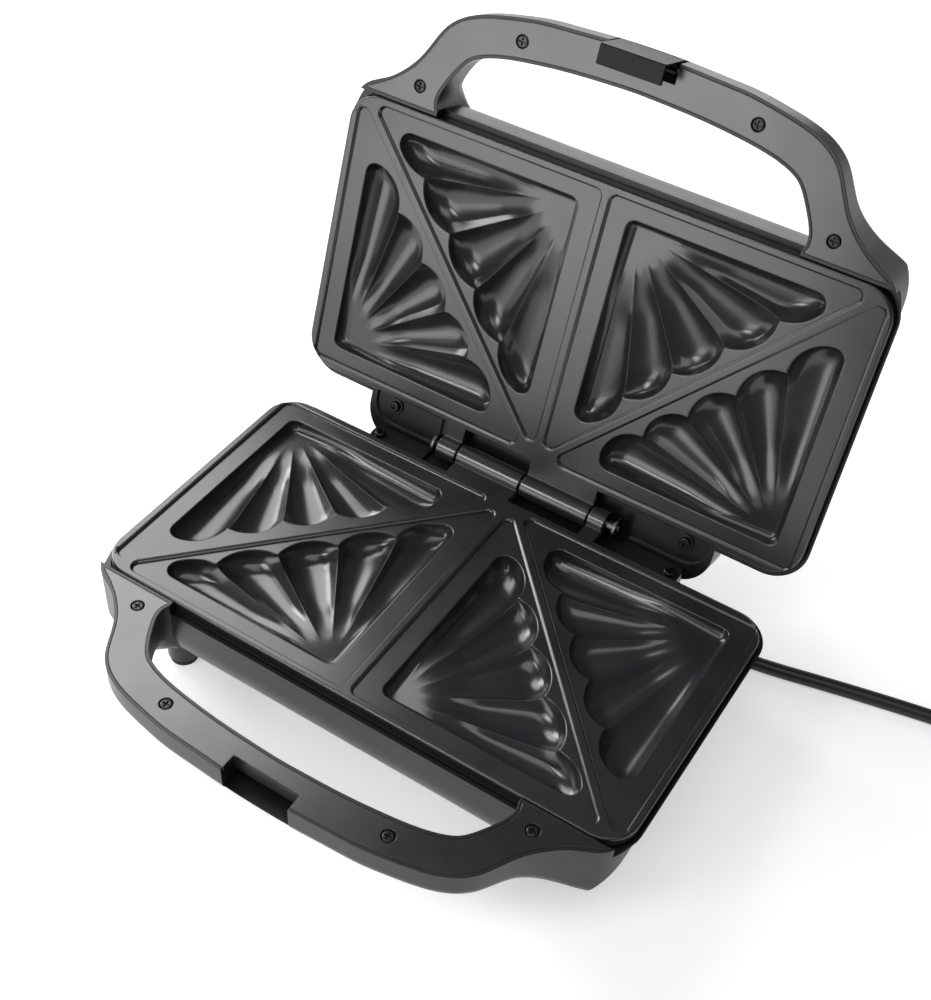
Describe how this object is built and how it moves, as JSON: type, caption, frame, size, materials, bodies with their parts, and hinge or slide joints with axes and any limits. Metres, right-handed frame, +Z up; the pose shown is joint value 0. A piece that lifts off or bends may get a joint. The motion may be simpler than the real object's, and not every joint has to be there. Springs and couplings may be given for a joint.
{
  "type": "sandwich maker",
  "caption": "Hinged electric sandwich maker, lid open, with two dark fluted plates that have triangular scalloped wells, loop handles, a latch and a cord with plug.",
  "frame": {"origin": "on the standing surface, at the middle of the appliance without its cord, as seen from above", "axes": "+Z up, +X to the right as seen by the user, -Y towards the user and the handles; the hinge axis is along X"},
  "size_m": [0.5013, 0.3233, 0.2411],
  "materials": {
    "housing_plastic": "satin",
    "nonstick_coating": "satin",
    "cover_plastic": "satin",
    "latch_plastic": "satin",
    "screw_steel": "satin",
    "element_steel": "satin",
    "shield_aluminium": "satin",
    "fuse_sleeve": "matte",
    "terminal_plastic": "matte",
    "pin_steel": "satin",
    "thermostat_steel": "satin",
    "foot_rubber": "matte",
    "cord_rubber": "satin",
    "plug_plastic": "satin",
    "pin_brass": "polished",
    "lens_red": "gloss",
    "lens_green": "gloss"
  },
  "bodies": {
    "base": {"base_housing": "housing_plastic", "base_plate": "nonstick_coating", "base_handle_cover": "cover_plastic", "base_cover_screws": "screw_steel", "base_rear_screws": "screw_steel", "base_plate_screws": "screw_steel", "base_heating_element": "element_steel", "base_heat_shield": "shield_aluminium", "thermal_fuse": "fuse_sleeve", "terminal_block": "terminal_plastic", "hinge_pin": "pin_steel", "base_feet": "foot_rubber", "strain_relief": "cord_rubber", "cord": "cord_rubber", "cord_coil": "cord_rubber", "cord_tail": "cord_rubber", "plug_body": "plug_plastic", "plug_pins": "pin_brass"},
    "lid": {"lid_housing": "housing_plastic", "lid_plate": "nonstick_coating", "lid_handle_cover": "cover_plastic", "lid_cover_screws": "screw_steel", "lid_rear_screws": "screw_steel", "lid_plate_screws": "screw_steel", "lid_heating_element": "element_steel", "lid_heat_shield": "shield_aluminium", "thermostat": "thermostat_steel", "power_lens": "lens_red", "ready_lens": "lens_green", "latch_pin": "pin_steel"},
    "latch": {"latch": "latch_plastic"}
  },
  "joints": [
    {"name": "lid_hinge", "type": "hinge", "parent": "base", "child": "lid", "pos_m": [0, 0.05794, 0.052], "axis": [1, 0, 0], "range_deg": [0, 107.9]},
    {"name": "latch_turn", "type": "hinge", "parent": "lid", "child": "latch", "pos_m": [0, 0.12108, 0.23253], "axis": [1, 0, 0], "range_deg": [-20, 9]}
  ]
}
